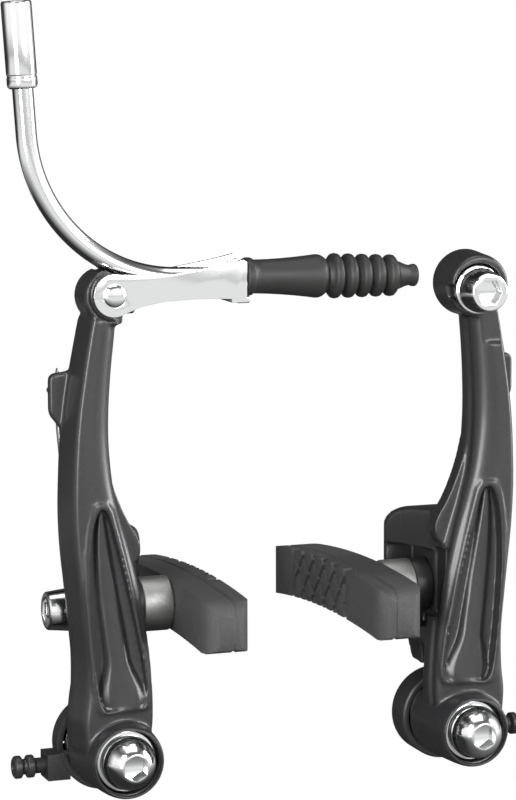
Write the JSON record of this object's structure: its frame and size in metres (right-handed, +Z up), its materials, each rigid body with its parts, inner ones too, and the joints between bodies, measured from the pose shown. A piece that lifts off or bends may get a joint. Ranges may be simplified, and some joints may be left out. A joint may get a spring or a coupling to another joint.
{
  "type": "v-brake",
  "caption": "Linear-pull bicycle rim brake: two sprung arms with cartridge pads, a hinged link with a bent noodle and rubber boot, and a cable anchor.",
  "frame": {"origin": "midway between the two pivot axes, in the plane of the frame bosses' shoulders, which is the back face of the pivot bushes", "axes": "+Z up along the arms, +Y from the brake into the frame along the pivots, +X across the wheel towards the cable anchor"},
  "size_m": [0.1236, 0.071, 0.1709],
  "materials": {
    "arm_paint": "satin",
    "chrome": "polished",
    "steel": "satin",
    "spacer": "matte",
    "plastic": "matte",
    "liner": "matte",
    "pad_rubber": "matte",
    "boot_rubber": "matte"
  },
  "bodies": {
    "pivots": {"left_bush": "steel", "right_bush": "steel", "left_spring_cap": "plastic", "right_spring_cap": "plastic", "left_spring": "steel", "right_spring": "steel", "left_pivot_bolt": "chrome", "right_pivot_bolt": "chrome", "left_bolt_washer": "chrome", "right_bolt_washer": "chrome"},
    "left_arm": {"left_arm": "arm_paint", "link_pin": "chrome"},
    "right_arm": {"right_arm": "arm_paint", "anchor_bolt": "chrome", "anchor_washer": "chrome"},
    "link": {"link": "chrome", "noodle_tube": "chrome", "noodle_ferrule": "chrome", "noodle_tip": "chrome", "noodle_liner": "liner", "boot": "boot_rubber"},
    "left_cups": {"left_inner_cup": "steel", "left_outer_cup": "steel"},
    "right_cups": {"right_inner_cup": "steel", "right_outer_cup": "steel"},
    "left_pad": {"left_pad": "pad_rubber", "left_pad_stud": "steel", "left_inner_dome": "spacer", "left_outer_dome": "spacer", "left_flat_washer": "spacer", "left_pad_nut": "chrome"},
    "right_pad": {"right_pad": "pad_rubber", "right_pad_stud": "steel", "right_inner_dome": "spacer", "right_outer_dome": "spacer", "right_flat_washer": "spacer", "right_pad_nut": "chrome"},
    "left_screw": {"left_tension_screw": "steel"},
    "right_screw": {"right_tension_screw": "steel"}
  },
  "joints": [
    {"name": "left_arm_pivot", "type": "hinge", "parent": "pivots", "child": "left_arm", "pos_m": [-0.04, 0, 0], "axis": [0, 1, 0], "range_deg": [-25, 6], "stiffness_Nm_per_rad": 0.8, "deforming": ["left_spring", "boot"]},
    {"name": "right_arm_pivot", "type": "hinge", "parent": "pivots", "child": "right_arm", "pos_m": [0.04, 0, 0], "axis": [0, -1, 0], "range_deg": [-25, 6], "stiffness_Nm_per_rad": 0.8, "deforming": ["right_spring", "boot"]},
    {"name": "link_pivot", "type": "hinge", "parent": "left_arm", "child": "link", "pos_m": [-0.0413, -0.0187, 0.0994], "axis": [0, 1, 0], "range_deg": [-3, 40]},
    {"name": "left_pad_height", "type": "slide", "parent": "left_arm", "child": "left_cups", "axis": [0, 0, 1], "range_m": [-0.0025, 0.0025]},
    {"name": "right_pad_height", "type": "slide", "parent": "right_arm", "child": "right_cups", "axis": [0, 0, 1], "range_m": [-0.0025, 0.0025]},
    {"name": "left_pad_pitch", "type": "hinge", "parent": "left_cups", "child": "left_pad", "pos_m": [-0.03, -0.006, 0.03], "axis": [1, 0, 0], "range_deg": [-10, 10]},
    {"name": "right_pad_pitch", "type": "hinge", "parent": "right_cups", "child": "right_pad", "pos_m": [0.03, -0.006, 0.03], "axis": [1, 0, 0], "range_deg": [-10, 10]},
    {"name": "left_screw_feed", "type": "slide", "parent": "pivots", "child": "left_screw", "axis": [1, 0, 0], "range_m": [-0.0015, 0.0015]},
    {"name": "right_screw_feed", "type": "slide", "parent": "pivots", "child": "right_screw", "axis": [-1, 0, 0], "range_m": [-0.0015, 0.0015]}
  ]
}
